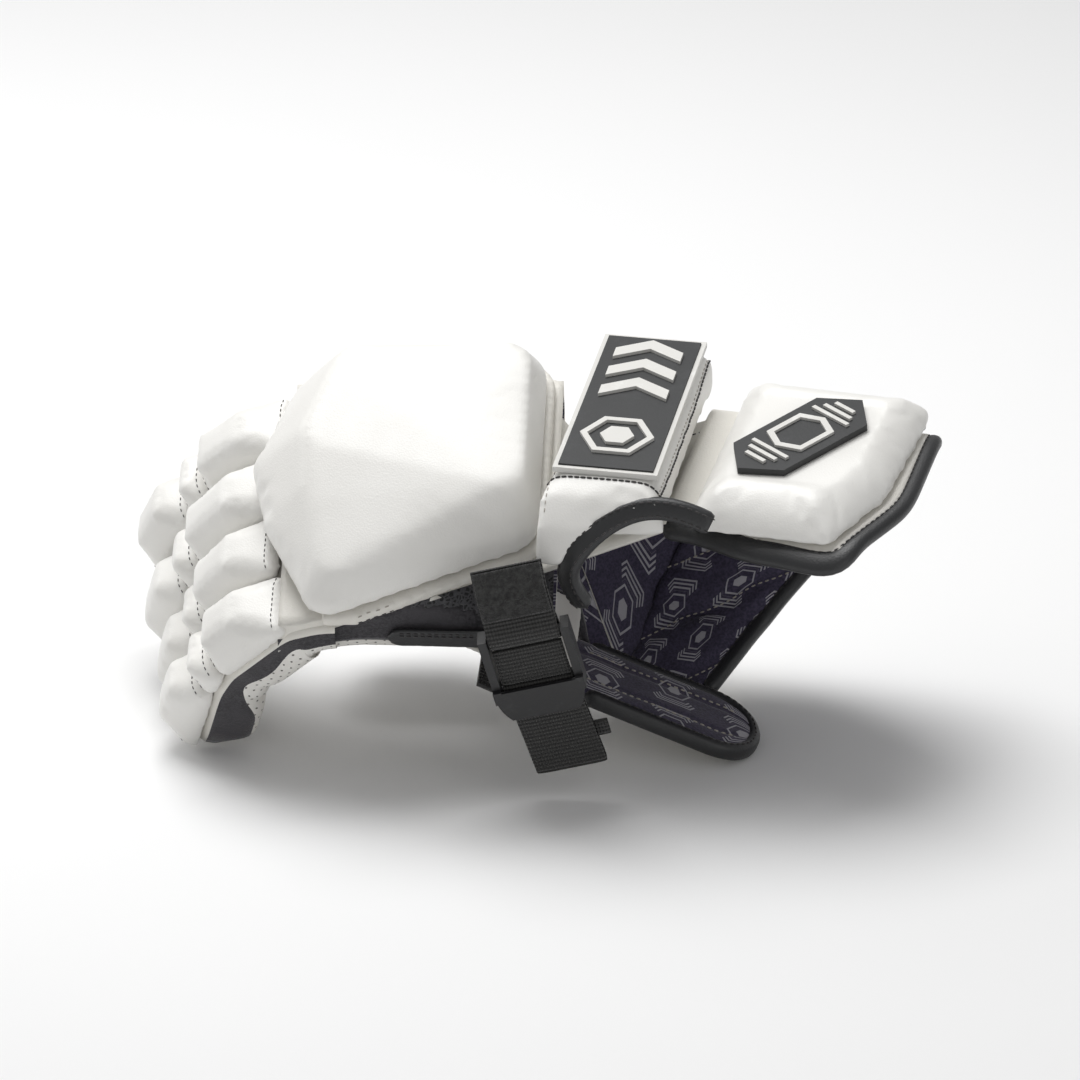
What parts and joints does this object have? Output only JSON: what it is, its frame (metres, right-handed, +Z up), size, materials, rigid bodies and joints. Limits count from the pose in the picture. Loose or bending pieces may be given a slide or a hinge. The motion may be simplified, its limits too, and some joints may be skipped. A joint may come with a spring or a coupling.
{
  "type": "padded stick-sport glove",
  "caption": "Left-hand padded stick-sport glove: jointed finger and thumb blocks, domed backhand pad, wrist pad, bound cuff, palm flap and webbing strap.",
  "frame": {"origin": "on the resting plane, in the middle of the bounding box", "axes": "+X from the fingertips towards the cuff, +Y from the little finger towards the thumb, +Z up"},
  "size_m": [0.2908, 0.1446, 0.1426],
  "materials": {
    "white_pu": "smooth satin polyurethane leather",
    "white_leather": "fine perforated leather",
    "foam": "closed-cell foam",
    "insert": "polyethylene sheet",
    "nash": "brushed suede-like fabric",
    "mesh": "open air mesh",
    "black_leather": "smooth satin leather edging",
    "lining": "brushed knit lining with a printed repeat",
    "webbing": "ribbed nylon webbing",
    "buckle_plastic": "moulded nylon",
    "black_rubber": "moulded rubber",
    "white_rubber": "moulded rubber"
  },
  "bodies": {
    "hand": {"backhand_cover": "white_pu", "backhand_foam": "foam", "backhand_plate": "insert", "hand_base": "white_pu", "side_band": "nash", "mesh_gusset": "mesh", "heel_patch": "black_leather", "palm_leather": "white_leather", "palm_heel": "white_leather", "thumb_gusset": "nash", "wrist_bridge": "white_pu", "hand_lining": "lining", "strap_anchor": "webbing", "palm_strap": "webbing"},
    "index_proximal": {"index_proximal_pad": "white_pu", "index_proximal_stall": "nash"},
    "index_middle": {"index_middle_pad": "white_pu", "index_middle_stall": "nash"},
    "index_tip": {"index_tip_pad": "white_pu", "index_tip_stall": "nash"},
    "middle_proximal": {"middle_proximal_pad": "white_pu", "middle_proximal_stall": "nash"},
    "middle_middle": {"middle_middle_pad": "white_pu", "middle_middle_stall": "nash"},
    "middle_tip": {"middle_tip_pad": "white_pu", "middle_tip_stall": "nash"},
    "ring_proximal": {"ring_proximal_pad": "white_pu", "ring_proximal_stall": "nash"},
    "ring_middle": {"ring_middle_pad": "white_pu", "ring_middle_stall": "nash"},
    "ring_tip": {"ring_tip_pad": "white_pu", "ring_tip_stall": "nash"},
    "little_proximal": {"little_proximal_pad": "white_pu", "little_proximal_stall": "nash"},
    "little_middle": {"little_middle_pad": "white_pu", "little_middle_stall": "nash"},
    "little_tip": {"little_tip_pad": "white_pu", "little_tip_stall": "nash"},
    "thumb_base": {"thumb_base_pad": "white_pu", "thumb_base_stall": "nash"},
    "thumb_tip": {"thumb_tip_pad": "white_pu", "thumb_tip_stall": "nash"},
    "wrist_pad": {"wrist_pad": "white_pu", "wrist_pad_plate": "insert", "wrist_badge": "black_rubber", "wrist_badge_border": "white_rubber", "wrist_badge_marks": "white_rubber", "wrist_binding": "black_leather"},
    "cuff": {"cuff_roof": "white_pu", "cuff_wall": "white_pu", "cuff_lining": "lining", "cuff_binding": "black_leather", "cuff_pad": "white_pu", "cuff_badge": "black_rubber", "cuff_badge_ribs": "white_rubber"},
    "palm_flap": {"flap_shell": "white_pu", "flap_lining": "lining", "flap_binding": "black_leather"},
    "buckle": {"ladder_buckle": "buckle_plastic"},
    "strap_end": {"strap_tail": "webbing"}
  },
  "joints": [
    {"name": "index_knuckle", "type": "hinge", "parent": "hand", "child": "index_proximal", "pos_m": [-0.08414, 0.02596, 0.10373], "axis": [0, -0.8829, -0.4695], "range_deg": [-20, 8], "stiffness_Nm_per_rad": 1.2},
    {"name": "index_middle_bend", "type": "hinge", "parent": "index_proximal", "child": "index_middle", "pos_m": [-0.11262, 0.03981, 0.07769], "axis": [0, -0.8829, -0.4695], "range_deg": [-8, 18], "stiffness_Nm_per_rad": 0.6},
    {"name": "index_tip_bend", "type": "hinge", "parent": "index_middle", "child": "index_tip", "pos_m": [-0.11951, 0.04499, 0.06795], "axis": [0, -0.8829, -0.4695], "range_deg": [-6, 14]},
    {"name": "middle_knuckle", "type": "hinge", "parent": "hand", "child": "middle_proximal", "pos_m": [-0.08714, 0.00301, 0.09152], "axis": [0, -0.8829, -0.4695], "range_deg": [-20, 10], "stiffness_Nm_per_rad": 1.2},
    {"name": "middle_middle_bend", "type": "hinge", "parent": "middle_proximal", "child": "middle_middle", "pos_m": [-0.11359, 0.0201, 0.05938], "axis": [0, -0.8829, -0.4695], "range_deg": [-8, 20], "stiffness_Nm_per_rad": 0.6},
    {"name": "middle_tip_bend", "type": "hinge", "parent": "middle_middle", "child": "middle_tip", "pos_m": [-0.11883, 0.02619, 0.04792], "axis": [0, -0.8829, -0.4695], "range_deg": [-6, 14]},
    {"name": "ring_knuckle", "type": "hinge", "parent": "hand", "child": "ring_proximal", "pos_m": [-0.08514, -0.01995, 0.07931], "axis": [0, -0.8829, -0.4695], "range_deg": [-22, 10], "stiffness_Nm_per_rad": 1.2},
    {"name": "ring_middle_bend", "type": "hinge", "parent": "ring_proximal", "child": "ring_middle", "pos_m": [-0.10806, -0.00399, 0.0493], "axis": [0, -0.8829, -0.4695], "range_deg": [-8, 20], "stiffness_Nm_per_rad": 0.6},
    {"name": "ring_tip_bend", "type": "hinge", "parent": "ring_middle", "child": "ring_tip", "pos_m": [-0.11251, 0.00175, 0.03852], "axis": [0, -0.8829, -0.4695], "range_deg": [-6, 14]},
    {"name": "little_knuckle", "type": "hinge", "parent": "hand", "child": "little_proximal", "pos_m": [-0.08114, -0.0429, 0.06711], "axis": [0, -0.8829, -0.4695], "range_deg": [-22, 10], "stiffness_Nm_per_rad": 1.2},
    {"name": "little_middle_bend", "type": "hinge", "parent": "little_proximal", "child": "little_middle", "pos_m": [-0.10428, -0.02996, 0.04276], "axis": [0, -0.8829, -0.4695], "range_deg": [-8, 20], "stiffness_Nm_per_rad": 0.6},
    {"name": "little_tip_bend", "type": "hinge", "parent": "little_middle", "child": "little_tip", "pos_m": [-0.10916, -0.02481, 0.03308], "axis": [0, -0.8829, -0.4695], "range_deg": [-6, 14]},
    {"name": "thumb_root", "type": "hinge", "parent": "hand", "child": "thumb_base", "pos_m": [0.01486, 0.04288, 0.086], "axis": [0.7364, 0.343, -0.5831], "range_deg": [-6, 14], "stiffness_Nm_per_rad": 1.2},
    {"name": "thumb_bend", "type": "hinge", "parent": "thumb_base", "child": "thumb_tip", "pos_m": [-0.01914, 0.04788, 0.046], "axis": [0.1683, 0.4998, -0.8496], "range_deg": [-12, 5], "stiffness_Nm_per_rad": 0.6},
    {"name": "wrist_bend", "type": "hinge", "parent": "hand", "child": "cuff", "pos_m": [0.05263, 0.00247, 0.104], "axis": [0.2222, 0.9624, 0.1564], "range_deg": [-12, 10], "stiffness_Nm_per_rad": 1.5},
    {"name": "wrist_pad_lift", "type": "hinge", "parent": "hand", "child": "wrist_pad", "pos_m": [0.01349, 0.00246, 0.10614], "axis": [-0.1553, -0.9803, -0.1219], "range_deg": [0, 12], "stiffness_Nm_per_rad": 0.8},
    {"name": "palm_flap_fold", "type": "hinge", "parent": "hand", "child": "palm_flap", "pos_m": [0.01824, -0.00712, 0.02953], "axis": [0, -1, 0], "range_deg": [-8, 24], "stiffness_Nm_per_rad": 0.8},
    {"name": "buckle_swing", "type": "hinge", "parent": "hand", "child": "buckle", "pos_m": [0.00086, -0.06512, 0.069], "axis": [-0.9703, 0, -0.2419], "range_deg": [-6, 14]},
    {"name": "strap_end_swing", "type": "hinge", "parent": "buckle", "child": "strap_end", "pos_m": [0.00583, -0.06075, 0.04907], "axis": [-0.9703, 0, -0.2419], "range_deg": [-8, 15]}
  ],
  "couplings": [
    {"joint": "index_tip_bend", "follows": "index_middle_bend", "ratio": 0.65},
    {"joint": "middle_tip_bend", "follows": "middle_middle_bend", "ratio": 0.65},
    {"joint": "ring_tip_bend", "follows": "ring_middle_bend", "ratio": 0.65},
    {"joint": "little_tip_bend", "follows": "little_middle_bend", "ratio": 0.65}
  ]
}
